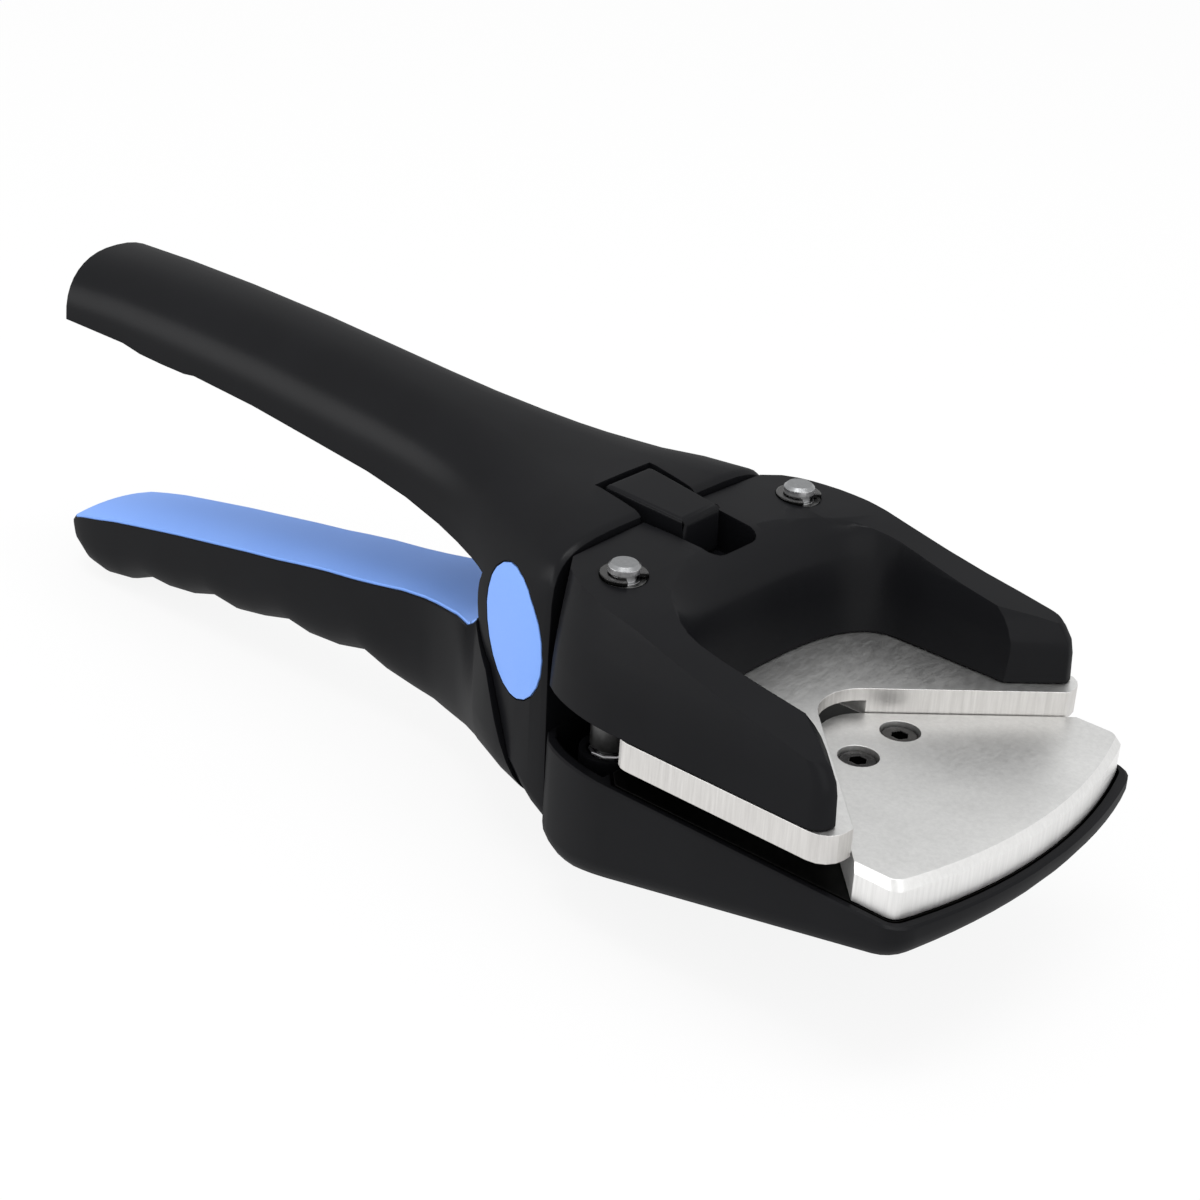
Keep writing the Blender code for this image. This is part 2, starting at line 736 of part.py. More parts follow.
def slot_shape():
    """The opening in the neck's top and front through which the arm reaches the head."""
    rear = -PIVOT_BACK + SLOT_FORWARD
    front = -SEAM_BACK + OVERRUN
    outline = [(rear, HANDLE_TOP), (rear, NECK_TOP - NECK_WALL - HANDLE_WALL)]
    outline.append((-PIVOT_BACK + HUB_RADIUS * SLOT_KNEE_SHARE, SLOT_SILL))
    outline += [(front, SLOT_SILL), (front, HANDLE_TOP)]
    return across(outline, -SLOT_HALF_WIDTH, SLOT_HALF_WIDTH)


def trough_shape():
    """The well between the base plate and the neck in which the springs stand."""
    length = SEAM_BACK - RUN_GAP - TROUGH_FRONT
    half = flank(length, FLANK_DEPTH, -TROUGH_FRONT, BASE_HALF_WIDTH - TROUGH_WALL)
    return upright(mirrored(half), PLATE_TOP - TROUGH_DEPTH, PLATE_TOP + OVERRUN)


# The head
def head_outline(lean, set_back):
    """The head seen from above: rounded rear flanks and two arms with ends parallel to the blade's fences."""
    side = HEAD_HALF_WIDTH - lean
    front = HEAD_FRONT - set_back
    ledge = ARM_LEDGE * math.sqrt(2) + set_back
    rear = flank(HEAD_FLANK_LENGTH, HEAD_FLANK_DEPTH, HEAD_FLANK_LENGTH - HEAD_BACK, side)
    tip = rounded(
        [
            (-ledge, 0, 0),
            (front, front + ledge, (side - front - ledge) * END_ROUND_SHARES[0]),
            (front, side, (side - front - ledge) * END_ROUND_SHARES[1]),
            (0, side, 0),
        ]
    )[1:-1]
    return [(-ledge, 0)] + tip + rear + [(x, -y) for x, y in reversed(tip + rear)]


def head_shape():
    height = HEAD_TOP - HEAD_BOTTOM
    rings = []
    for share, lean, set_back in HEAD_SIDE_SHARES:
        outline = head_outline(HEAD_LEAN * lean, ARM_FRONT_ROUND * set_back)
        rings.append([(x, y, HEAD_BOTTOM + height * share) for x, y in outline])
    rings.append([(x, y, z + OVERRUN) for x, y, z in rings[-1]])
    return stack(rings)


def head_top_shape():
    """The space above the head, bounded below by its crowned and falling top."""
    length = HEAD_FRONT + HEAD_BACK
    reach = HEAD_HALF_WIDTH + OVERRUN
    high = HEAD_TOP + 3 * OVERRUN
    rows = [(-HEAD_BACK - OVERRUN, 0)]
    rows += [(-HEAD_BACK + length * place, drop) for place, drop in HEAD_TOP_SHARES]
    rows.append((HEAD_FRONT + OVERRUN, HEAD_TOP_SHARES[-1][1]))
    rings = []
    for x, drop in rows:
        ring = []
        for at in range(ARC_STEPS + 1):
            y = reach * (2 * at / ARC_STEPS - 1)
            crown = HEAD_CROWN * (y / HEAD_HALF_WIDTH) ** 2
            ring.append((x, y, HEAD_TOP - ARM_TOP_DROP * drop - crown))
        rings.append(ring + [(x, reach, high), (x, -reach, high)])
    return stack(rings)


def recess_shape():
    """The open bay between the arms, which flares towards the top."""
    height = HEAD_TOP - HEAD_BOTTOM
    far = HEAD_FRONT + OVERRUN
    rings = []
    levels = ((-OVERRUN / height, 0, 0),) + RECESS_SHARES + ((1 + OVERRUN / height, 1, 1),)
    for share, back_flare, side_flare in levels:
        side = RECESS_HALF_WIDTH + RECESS_FLARE_SIDE * side_flare
        depth = RECESS_BEND + RECESS_FLARE_BACK * back_flare
        front = RECESS_BEND - RECESS_BACK
        half = [(far, side)]
        for step in range(BEND_STEPS):
            turn = math.pi / 2 * step / BEND_STEPS
            x = front - depth * math.sin(turn) ** (2 / RECESS_POWER)
            half.append((x, side * math.cos(turn) ** (2 / RECESS_POWER)))
        ring = half + [(front - depth, 0)] + [(x, -y) for x, y in reversed(half)]
        rings.append([(x, y, HEAD_BOTTOM + height * share) for x, y in ring])
    return stack(rings)


def pocket_shape():
    front = -POCKET_FRONT
    rear = -HEAD_BACK - OVERRUN
    corners = [
        (rear, -SLOT_HALF_WIDTH, 0),
        (front, -POCKET_FRONT_HALF_WIDTH, POCKET_ROUND),
        (front, POCKET_FRONT_HALF_WIDTH, POCKET_ROUND),
        (rear, SLOT_HALF_WIDTH, 0),
    ]
    return upright(rounded(corners), POCKET_FLOOR, HEAD_TOP + OVERRUN)


# The lever and its arm, counted from the pivot
def lever_section(row, shrink=0):
    """One cross-section of the lever: a flat top with soft edges over a rounded belly."""
    place, top_drop, low_drop, width = row
    x = -LEVER_LENGTH * place
    half = GRIP_HALF_WIDTH + (NECK_HALF_WIDTH - GRIP_HALF_WIDTH) * width - shrink
    top = -LEVER_DROP * top_drop
    low = -LEVER_DROP * low_drop
    middle = top + (low - top) * BELLY_START_SHARE
    power = LEVER_POWERS[0] + (LEVER_POWERS[1] - LEVER_POWERS[0]) * max(0, width)
    points = []
    for step in range(SECTION_STEPS + 1):
        turn = math.pi * step / SECTION_STEPS
        across_share = math.copysign(abs(math.cos(turn)) ** (2 / power), math.cos(turn))
        points.append((x, half * across_share, middle - (middle - low) * math.sin(turn) ** (2 / power)))
    edge = min(EDGE_ROUND, (top - middle) / 2)
    left = [(x, -half, top - edge), (x, -half + edge, top)]
    return points + left + [(x, -y, z) for _, y, z in reversed(left)]


def lever_shape():
    return stack([lever_section(row) for row in LEVER_SHARES])


def front_shape():
    """What is cut off the lever's body in front of the seam."""
    seam = [(x + PIVOT_BACK, z - PIVOT_HEIGHT) for x, z in seam_line(SEAM_GAP)]
    high = NECK_TOP
    low = seam[-1][1]
    front = NECK_HALF_WIDTH
    outline = seam + [(front, low), (front, high), (seam[0][0], high)]
    reach = NECK_HALF_WIDTH + OVERRUN
    return across(outline, -reach, reach)


def hub_shape():
    """The hub between the cheeks, with the web that joins it to the lever's body."""
    foot = (-HUB_RADIUS * HUB_FOOT_SHARES[0] - 2 * SEAM_GAP, -HUB_RADIUS * HUB_FOOT_SHARES[1])
    rear = -SEAM_RADIUS - 2 * NECK_WALL
    outline = arc((0, 0), HUB_RADIUS, *HUB_DEGREES, 2 * ARC_STEPS)
    outline += [(rear, -LEVER_DROP * WEB_TOP_SHARE), (rear, foot[1]), foot]
    half = CAVITY_HALF_WIDTH - HUB_SIDE_GAP
    return across(outline, -half, half)


def tail_points(hub_radius, half_depth):
    """The arm's tail: a bar with a round end, and the angles at which its two sides leave the hub."""
    turn = math.radians(TAIL_DEGREES)
    end = (TAIL_LENGTH * math.cos(turn), TAIL_LENGTH * math.sin(turn))
    spread = math.degrees(math.asin(half_depth / hub_radius))
    tip = arc(end, half_depth, TAIL_DEGREES + 90, TAIL_DEGREES - 90)
    return TAIL_DEGREES + spread, tip, TAIL_DEGREES - spread


def shared(shares):
    """Points of the arm as shares of its reach and its height."""
    return [(NOSE_REACH * across_share, ARM_HEIGHT * up_share) for across_share, up_share in shares]


def arm_outline():
    """The arm seen from the side, listed clockwise from the top of its rear edge."""
    nose = [(NOSE_REACH - EDGE_ROUND, NOSE_TOP), (NOSE_REACH, NOSE_TOP - EDGE_ROUND)]
    tip = arc((NOSE_REACH - NOSE_RADIUS, NOSE_FLOOR + NOSE_RADIUS), NOSE_RADIUS, 0, -90)
    low, tail, high = tail_points(ARM_HUB_RADIUS, TAIL_RADIUS)
    front_hub = arc((0, 0), ARM_HUB_RADIUS, ARM_HUB_DEGREES[0], low - 360)
    rear_hub = arc((0, 0), ARM_HUB_RADIUS, high, ARM_HUB_DEGREES[1])
    front = shared(ARM_TOP_SHARES) + nose + tip + shared(ARM_THROAT_SHARES)
    return front + front_hub + tail + rear_hub + shared(ARM_BACK_SHARES)[::-1]


def arm_slot_outline():
    """The slot in the lever that takes the arm's hub and tail. It is open above."""
    radius = HUB_RADIUS + HUB_GAP
    low, tail, _ = tail_points(radius, TAIL_RADIUS + SEAT_GAP)
    return arc((0, 0), radius, 90, low - 360) + tail + [(tail[-1][0], radius)]


def pad_shape(grow=0):
    """The soft strip let into the lever's top, or with grow its seat."""
    rings = []
    rows = [row for row in LEVER_SHARES if PAD_PLACES[0] < row[0] < PAD_PLACES[1]]
    for row in rows:
        place, top_drop, _, width = row
        x = -LEVER_LENGTH * place
        half = GRIP_HALF_WIDTH + (NECK_HALF_WIDTH - GRIP_HALF_WIDTH) * width - PAD_LIP + grow
        top = -LEVER_DROP * top_drop
        low = top - PAD_DEPTH
        if grow:
            ring = [(x, half, low), (x, half, top + OVERRUN), (x, -half, top + OVERRUN), (x, -half, low)]
        else:
            crown = [half * (2 * at / ARC_STEPS - 1) for at in range(ARC_STEPS + 1)]
            ring = [(x, y, top + PAD_CROWN * (1 - (y / half) ** 2)) for y in crown]
            ring += [(x, half, low + SEAT_GAP), (x, -half, low + SEAT_GAP)]
        rings.append(ring)
    if grow:
        first = [(x + SEAT_GAP, y, z) for x, y, z in rings[0]]
        last = [(x - SEAT_GAP, y, z) for x, y, z in rings[-1]]
        rings = [first] + rings[1:-1] + [last]
    return stack(rings)


# Round and small pieces
def pin_shape():
    """A guide pin: pressed in below, chamfered above, with a groove for its clip."""
    low = WELL_FLOOR - PIN_ROOT
    groove = PIN_RADIUS - GROOVE_DEPTH
    return turned(
        [
            (0, low),
            (PIN_RADIUS - PIN_CHAMFER, low),
            (PIN_RADIUS, low + PIN_CHAMFER),
            (PIN_RADIUS, CLIP_BOTTOM - SEAT_GAP),
            (groove, CLIP_BOTTOM - SEAT_GAP),
            (groove, CLIP_BOTTOM + CLIP_THICKNESS + SEAT_GAP),
            (PIN_RADIUS, CLIP_BOTTOM + CLIP_THICKNESS + SEAT_GAP),
            (PIN_RADIUS, PIN_TOP - PIN_CHAMFER),
            (PIN_RADIUS - PIN_CHAMFER, PIN_TOP),
            (0, PIN_TOP),
        ]
    )


def clip_shape():
    """An open ring that snaps into the pin's groove."""
    outer = CLIP_DIAMETER / 2
    inner = PIN_RADIUS - GROOVE_DEPTH + SEAT_GAP
    mouth = math.degrees(math.asin(CLIP_MOUTH / 2 / inner))
    around = arc((0, 0), outer, mouth, 360 - mouth, ROUND_STEPS)
    within = arc((0, 0), inner, 360 - mouth, mouth, ROUND_STEPS)
    return upright(around + within, 0, CLIP_THICKNESS)


def bush_shape():
    bore = PIN_RADIUS + BUSH_CLEARANCE
    high = CLIP_BOTTOM - SEAT_GAP
    profile = [(bore, BUSH_BOTTOM), (BUSH_RADIUS, BUSH_BOTTOM), (BUSH_RADIUS, high), (bore, high)]
    return turned(profile + profile[:1])


def hexagon(across_flats, low, high):
    corner = across_flats / math.sqrt(3)
    return upright(arc((0, 0), corner, 0, 300, 5), low, high)


def cap_screw_shape():
    """A socket cap screw that hangs from the top of its head at zero."""
    head = SCREW_HEAD_DIAMETER / 2
    shank = SCREW_DIAMETER / 2
    low = -SCREW_HEAD_HEIGHT - DIE_SCREW_LENGTH
    return turned(
        [
            (0, low),
            (shank - PIN_CHAMFER, low),
            (shank, low + PIN_CHAMFER),
            (shank, -SCREW_HEAD_HEIGHT),
            (head, -SCREW_HEAD_HEIGHT),
            (head, -SCREW_EDGE),
            (head - SCREW_EDGE, 0),
            (0, 0),
        ]
    )


def flat_screw_shape():
    """A countersunk screw that points up from the face of its head at zero."""
    head = SCREW_HEAD_DIAMETER / 2
    shank = SCREW_DIAMETER / 2
    return turned(
        [
            (0, 0),
            (head, 0),
            (head, SCREW_EDGE),
            (shank, SCREW_EDGE + FLAT_HEAD_HEIGHT),
            (shank, BLADE_SCREW_LENGTH - PIN_CHAMFER),
            (shank - PIN_CHAMFER, BLADE_SCREW_LENGTH),
            (0, BLADE_SCREW_LENGTH),
        ]
    )


def low_screw_shape():
    """A low-headed screw that points up from the underside of its head at zero."""
    head = SCREW_HEAD_DIAMETER / 2
    shank = SCREW_DIAMETER / 2
    return turned(
        [
            (0, -LOW_HEAD_HEIGHT),
            (head - SCREW_EDGE, -LOW_HEAD_HEIGHT),
            (head, -LOW_HEAD_HEIGHT + SCREW_EDGE),
            (head, 0),
            (shank, 0),
            (shank, BASE_SCREW_LENGTH - PIN_CHAMFER),
            (shank - PIN_CHAMFER, BASE_SCREW_LENGTH),
            (0, BASE_SCREW_LENGTH),
        ]
    )


def spring_points():
    """The middle line of a return spring, and the least gap between its wire's neighbouring turns."""
    count = SPRING_TURNS * SPRING_STEPS
    rise = (SPRING_LENGTH - SPRING_WIRE) / count
    points = []
    for at in range(count + 1):
        turn = 2 * math.pi * at / SPRING_STEPS
        height = SPRING_WIRE / 2 + rise * at
        points.append(Vector((SPRING_RADIUS * math.cos(turn), SPRING_RADIUS * math.sin(turn), height)))
    gap = min(
        (points[at] - points[after]).length
        for at in range(count + 1)
        for after in range(at + SPRING_STEPS // 2, count + 1)
    )
    print("Least gap of a spring to itself, in metres: %.5f" % (gap - SPRING_WIRE))
    return points


def spring(name, points, parent, surface, place):
    curve = bpy.data.curves.new(name, "CURVE")
    curve.dimensions = "3D"
    curve.bevel_depth = SPRING_WIRE / 2
    curve.bevel_resolution = 1
    curve.use_fill_caps = True
    line = curve.splines.new("POLY")
    line.points.add(len(points) - 1)
    for point, place_on_line in zip(line.points, points):
        point.co = (*place_on_line, 1)
    curve.materials.append(surface)
    return link(name, curve, parent, place)


def oval_shape(side, grow=0):
    """An oval plug, flat inside and over-long outside, about its own centre on the cheek's surface."""
    half_width = CAP_WIDTH / 2 + grow
    half_height = CAP_HEIGHT / 2 + grow
    outline = [(half_width * x, half_height * z) for x, z in arc((0, 0), 1, 0, 360, ROUND_STEPS)[:-1]]
    inner = -CAP_THICKNESS - grow
    return across(outline, side * inner, side * OVERRUN)


clear_scene()

black = material("matte_black", (0.012, 0.012, 0.014), 0.0, 0.42)
blue = material("soft_blue", (0.16, 0.33, 0.86), 0.0, 0.55)
steel = material("ground_steel", (0.62, 0.62, 0.60), 1.0, 0.32)
chrome = material("bright_pin", (0.75, 0.75, 0.76), 1.0, 0.15)
oxide = material("black_oxide", (0.02, 0.02, 0.02), 0.9, 0.40)
spring_steel = material("spring_steel", (0.40, 0.40, 0.41), 1.0, 0.30)
bronze = material("dark_bush", (0.10, 0.10, 0.10), 0.8, 0.35)

root = empty("rounder_root", None, (-DIE_SCREW_FORWARD, 0, 0))
slide = empty("head_slide", root, (0, 0, 0))
pivot = empty("lever_pivot", root, (-PIVOT_BACK, 0, PIVOT_HEIGHT))

# Frame, with the neck as its first form and the base joined to it
frame = piece("frame", neck_shape(), root, black)
neck_guide = cutter("neck_guide", frame.data, root)
channel = cutter("channel_cutter", channel_shape(), root)
combine(channel, cutter("cavity_cutter", cavity_shape(), root), "INTERSECT")
join(frame, cutter("base_form", base_shape(), root))
cut(frame, cutter("understroke_cutter", understroke_shape(), root), channel)
cut(frame, cutter("slot_cutter", slot_shape(), root))
cut(frame, cutter("trough_cutter", trough_shape(), root))
plate_seat = upright(plate_outline(PLATE_GROOVE), PLATE_BOTTOM - SEAT_GAP, PLATE_TOP + OVERRUN)
cut(frame, cutter("plate_seat_cutter", plate_seat, root))
frame_low = PLATE_TOP - BASE_REAR_DEPTH - OVERRUN
cut(frame, cutter("frame_chute_cutter", upright(chute_outline(SEAT_GAP), frame_low, PLATE_TOP), root))

pin_places = [(-PIN_BACK, side * PIN_SIDE, 0) for side in (-1, 1)]
boss_low = PLATE_TOP - TROUGH_DEPTH - WELL_WALL
for side, place in zip(("near", "far"), pin_places):
    join(frame, cutter("boss_form_" + side, rod(WELL_RADIUS + WELL_WALL, boss_low, -WELL_TOP), root, place))
for side, place in zip(("near", "far"), pin_places):
    cut(frame, cutter("well_cutter_" + side, rod(WELL_RADIUS, WELL_FLOOR, OVERRUN), root, place))
    bore = rod(PIN_RADIUS + BUSH_CLEARANCE, WELL_FLOOR - PIN_ROOT - SEAT_GAP, WELL_FLOOR + OVERRUN)
    cut(frame, cutter("pin_bore_cutter_" + side, bore, root, place))

axle_bore = lying(rod(AXLE_DIAMETER / 2 + AXLE_CLEARANCE, -NECK_HALF_WIDTH, NECK_HALF_WIDTH))
axle_cutter = cutter("axle_bore_cutter", axle_bore, pivot)
cut(frame, axle_cutter)

# Oval caps, cut from the neck's own outer form
for name, side in (("pivot_cap_near", -1), ("pivot_cap_far", 1)):
    place = (-PIVOT_BACK + SEAT_GAP, side * (NECK_HALF_WIDTH - CAP_INSET), PIVOT_HEIGHT)
    facing = (0, -math.radians(CAP_LEAN_DEGREES), side * math.radians(CAP_TURN_DEGREES))
    cap = piece(name, oval_shape(side), root, blue, place)
    seat = cutter(name + "_cutter", oval_shape(side, SEAT_GAP), root, place)
    for turned_piece in (cap, seat):
        turned_piece.rotation_euler = facing
    combine(cap, neck_guide, "INTERSECT")
    cut(frame, seat)

# Base plate and its screws
plate = piece("base_plate", upright(plate_outline(), PLATE_BOTTOM, PLATE_TOP), root, steel)
plate_chute = upright(chute_outline(), PLATE_BOTTOM - OVERRUN, PLATE_TOP + OVERRUN)
cut(plate, cutter("plate_chute_cutter", plate_chute, root))
base_screw_seat = PLATE_BOTTOM - SEAT_GAP - BASE_FLOOR
base_places = [
    (x, side * BASE_SCREW_SIDE, base_screw_seat)
    for x in (-BASE_SCREW_BACK, BASE_SCREW_FRONT)
    for side in (-1, 1)
]
base_names = ["base_screw_%d" % number for number in range(1, 5)]
base_screws = copies(base_names, low_screw_shape(), root, oxide, base_places)
base_hole = turned(
    [
        (0, frame_low),
        (COUNTERBORE_DIAMETER / 2, frame_low),
        (COUNTERBORE_DIAMETER / 2, SEAT_GAP),
        (SCREW_DIAMETER / 2 + SEAT_GAP, SEAT_GAP),
        (SCREW_DIAMETER / 2 + SEAT_GAP, OVERRUN + BASE_SCREW_LENGTH),
        (0, OVERRUN + BASE_SCREW_LENGTH),
    ]
)
base_hole_mesh = mesh_of("base_hole", base_hole)
socket_low = hexagon(SOCKET_ACROSS_FLATS, -LOW_HEAD_HEIGHT - OVERRUN, -LOW_HEAD_HEIGHT + LOW_SOCKET_DEPTH)
socket_low_mesh = mesh_of("low_socket", socket_low)
for screw in base_screws:
    hole = cutter(screw.name + "_hole", base_hole_mesh, root, screw.location)
    cut(frame, hole)
    cut(plate, hole)
    cut(screw, cutter(screw.name + "_socket", socket_low_mesh, root, screw.location))

# Die block and its screws
die_levels = ((DIE_CHAMFER, 0), (0, -DIE_CHAMFER_DEPTH), (0, -DIE_HEIGHT))
die_rings = [[(x, y, z) for x, y in die_outline(inset)] for inset, z in die_levels]
die = piece("die_block", stack(die_rings), root, steel)
die_places = [(DIE_SCREW_FORWARD, side * DIE_SCREW_SPREAD / 2, -SCREW_SUNK) for side in (-1, 1)]
die_names = ["die_screw_near", "die_screw_far"]
die_screws = copies(die_names, cap_screw_shape(), root, oxide, die_places)
die_low = -SCREW_HEAD_HEIGHT - DIE_SCREW_LENGTH - SEAT_GAP
die_hole = turned(
    [
        (0, die_low),
        (SCREW_DIAMETER / 2 + SEAT_GAP, die_low),
        (SCREW_DIAMETER / 2 + SEAT_GAP, -SCREW_HEAD_HEIGHT - SEAT_GAP),
        (COUNTERBORE_DIAMETER / 2, -SCREW_HEAD_HEIGHT - SEAT_GAP),
        (COUNTERBORE_DIAMETER / 2, OVERRUN),
        (0, OVERRUN),
    ]
)
die_hole_mesh = mesh_of("die_hole", die_hole)
socket_mesh = mesh_of("die_socket", hexagon(SOCKET_ACROSS_FLATS, -SOCKET_DEPTH, OVERRUN))
for screw in die_screws:
    hole = cutter(screw.name + "_hole", die_hole_mesh, root, screw.location)
    cut(die, hole)
    cut(plate, hole)
    cut(frame, hole)
    cut(screw, cutter(screw.name + "_socket", socket_mesh, root, screw.location))

# Head and what it carries
head = piece("head", head_shape(), slide, black)
cut(head, cutter("head_top_cutter", head_top_shape(), slide), cutter("recess_cutter", recess_shape(), slide))
cut(head, cutter("pocket_cutter", pocket_shape(), slide))
clip_recess_low = CLIP_BOTTOM - SEAT_GAP - BUSH_CLEARANCE
bush_hole = turned(
    [
        (0, HEAD_BOTTOM - OVERRUN),
        (BUSH_RADIUS + BUSH_CLEARANCE, HEAD_BOTTOM - OVERRUN),
        (BUSH_RADIUS + BUSH_CLEARANCE, clip_recess_low),
        (CLIP_RECESS_DIAMETER / 2, clip_recess_low),
        (CLIP_RECESS_DIAMETER / 2, HEAD_TOP + OVERRUN),
        (0, HEAD_TOP + OVERRUN),
    ]
)
bush_hole_mesh = mesh_of("bush_hole", bush_hole)
for side, place in zip(("near", "far"), pin_places):
    cut(head, cutter("bush_cutter_" + side, bush_hole_mesh, slide, place))

blade = piece("upper_blade", upright(blade_outline(), -BLADE_OVERLAP, BLADE_TOP), slide, steel)
relief_front = CORNER_RADIUS
relief = rounded(
    [
        (-RELIEF_BACK, -RELIEF_HALF_WIDTH, CHUTE_ROUND),
        (relief_front, -RELIEF_HALF_WIDTH, 0),
        (relief_front, RELIEF_HALF_WIDTH, 0),
        (-RELIEF_BACK, RELIEF_HALF_WIDTH, CHUTE_ROUND),
    ]
)
relief_form = upright(relief, -BLADE_OVERLAP - OVERRUN, BLADE_TOP - WEB_THICKNESS)
cut(blade, cutter("relief_cutter", relief_form, slide))
blade_places = [
    (x, side * BLADE_SCREW_SIDE, -BLADE_OVERLAP + SEAT_GAP)
    for x in (-BLADE_SCREW_BACK, BLADE_SCREW_FRONT)
    for side in (-1, 1)
]
blade_names = ["blade_screw_%d" % number for number in range(1, 5)]
blade_screws = copies(blade_names, flat_screw_shape(), slide, oxide, blade_places)
head_radius = SCREW_HEAD_DIAMETER / 2 + SEAT_GAP
shank_radius = SCREW_DIAMETER / 2 + SEAT_GAP
blade_hole = turned(
    [
        (0, -OVERRUN),
        (head_radius, -OVERRUN),
        (head_radius, SCREW_EDGE),
        (shank_radius, SCREW_EDGE + FLAT_HEAD_HEIGHT),
        (shank_radius, BLADE_SCREW_LENGTH + SEAT_GAP),
        (0, BLADE_SCREW_LENGTH + SEAT_GAP),
    ]
)
blade_hole_mesh = mesh_of("blade_hole", blade_hole)
flat_socket_mesh = mesh_of("flat_socket", hexagon(FLAT_SOCKET_ACROSS, -OVERRUN, LOW_SOCKET_DEPTH))
for screw in blade_screws:
    hole = cutter(screw.name + "_hole", blade_hole_mesh, slide, screw.location)
    cut(blade, hole)
    cut(head, hole)
    cut(screw, cutter(screw.name + "_socket", flat_socket_mesh, slide, screw.location))

# Guides, clips and springs
copies(["guide_bush_near", "guide_bush_far"], bush_shape(), slide, bronze, pin_places)
copies(["guide_pin_near", "guide_pin_far"], pin_shape(), root, chrome, pin_places)
clip_places = [(x, y, CLIP_BOTTOM) for x, y, _ in pin_places]
copies(["retaining_clip_near", "retaining_clip_far"], clip_shape(), root, oxide, clip_places)
coil = spring_points()
for side, (x, y, _) in zip(("near", "far"), pin_places):
    spring("return_spring_" + side, coil, root, spring_steel, (x, y, WELL_FLOOR + SEAT_GAP))

# Lever, pad, arm and their pins
lever = piece("lower_handle", lever_shape(), pivot, black)
cut(lever, cutter("lever_front_cutter", front_shape(), pivot))
join(lever, cutter("hub_form", hub_shape(), pivot))
slot_half = ARM_HALF_WIDTH + SEAT_GAP
cut(lever, cutter("arm_slot_cutter", across(arm_slot_outline(), -slot_half, slot_half), pivot))
cut(lever, cutter("pad_seat_cutter", pad_shape(SEAT_GAP), pivot))
cut(lever, axle_cutter)
piece("handle_pad", pad_shape(), pivot, blue)

arm = piece("press_arm", across(arm_outline(), -ARM_HALF_WIDTH, ARM_HALF_WIDTH), pivot, black)
for name, side in (("taper_cutter_near", -1), ("taper_cutter_far", 1)):
    taper = [
        (-EDGE_ROUND, side * ARM_HALF_WIDTH),
        (NOSE_REACH, side * NOSE_HALF_WIDTH),
        (NOSE_REACH + OVERRUN, side * NOSE_HALF_WIDTH),
        (NOSE_REACH + OVERRUN, side * (ARM_HALF_WIDTH + OVERRUN)),
        (-EDGE_ROUND, side * (ARM_HALF_WIDTH + OVERRUN)),
    ]
    cut(arm, cutter(name, upright(taper, -HUB_RADIUS - OVERRUN, ARM_HEIGHT + OVERRUN), pivot))
cut(arm, axle_cutter)

axle = lying(rod(AXLE_DIAMETER / 2, -AXLE_HALF_LENGTH, AXLE_HALF_LENGTH))
piece("pivot_axle", axle, pivot, chrome)
tail_turn = math.radians(TAIL_DEGREES)
tail_reach = TAIL_LENGTH - TAIL_PIN_SHIFT
tail_place = (tail_reach * math.cos(tail_turn), 0, tail_reach * math.sin(tail_turn))
tail_radius = TAIL_PIN_DIAMETER / 2
tail_end = TAIL_PIN_HALF_LENGTH + SEAT_GAP
tail_hole = lying(rod(tail_radius + AXLE_CLEARANCE, -tail_end, tail_end))
tail_cutter = cutter("tail_pin_cutter", tail_hole, pivot, tail_place)
cut(arm, tail_cutter)
cut(lever, tail_cutter)
tail_pin = lying(rod(tail_radius, -TAIL_PIN_HALF_LENGTH, TAIL_PIN_HALF_LENGTH))
piece("arm_pin", tail_pin, pivot, chrome, tail_place)
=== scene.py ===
"""Looks for the corner rounder.

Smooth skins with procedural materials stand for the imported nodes. They lie on a pale floor in soft studio
light, and the camera stands where the photograph was taken from.
"""
import json
import math

import bmesh
import bpy
from mathutils import Matrix, Vector


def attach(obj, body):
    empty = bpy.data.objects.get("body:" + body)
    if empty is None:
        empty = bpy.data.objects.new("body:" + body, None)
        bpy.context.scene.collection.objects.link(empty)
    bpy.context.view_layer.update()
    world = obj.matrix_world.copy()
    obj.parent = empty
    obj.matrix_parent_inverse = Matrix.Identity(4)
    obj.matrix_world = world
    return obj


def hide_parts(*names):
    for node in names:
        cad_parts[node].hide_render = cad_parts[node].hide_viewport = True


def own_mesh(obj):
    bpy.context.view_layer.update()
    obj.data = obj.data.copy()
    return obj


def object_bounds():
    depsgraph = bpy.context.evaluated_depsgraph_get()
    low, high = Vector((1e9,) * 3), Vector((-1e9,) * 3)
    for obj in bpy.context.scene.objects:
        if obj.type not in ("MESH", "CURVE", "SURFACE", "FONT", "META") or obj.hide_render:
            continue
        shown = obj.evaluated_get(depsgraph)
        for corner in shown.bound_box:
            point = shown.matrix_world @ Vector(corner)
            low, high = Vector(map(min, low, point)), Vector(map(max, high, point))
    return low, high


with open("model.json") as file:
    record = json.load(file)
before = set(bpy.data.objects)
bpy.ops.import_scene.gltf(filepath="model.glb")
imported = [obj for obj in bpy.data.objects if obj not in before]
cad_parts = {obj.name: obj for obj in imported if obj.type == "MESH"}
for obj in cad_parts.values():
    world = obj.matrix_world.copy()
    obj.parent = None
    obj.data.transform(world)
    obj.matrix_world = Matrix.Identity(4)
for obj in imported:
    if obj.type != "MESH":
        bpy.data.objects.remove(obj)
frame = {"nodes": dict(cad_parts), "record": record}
NODES = frame["nodes"]
cad_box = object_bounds()

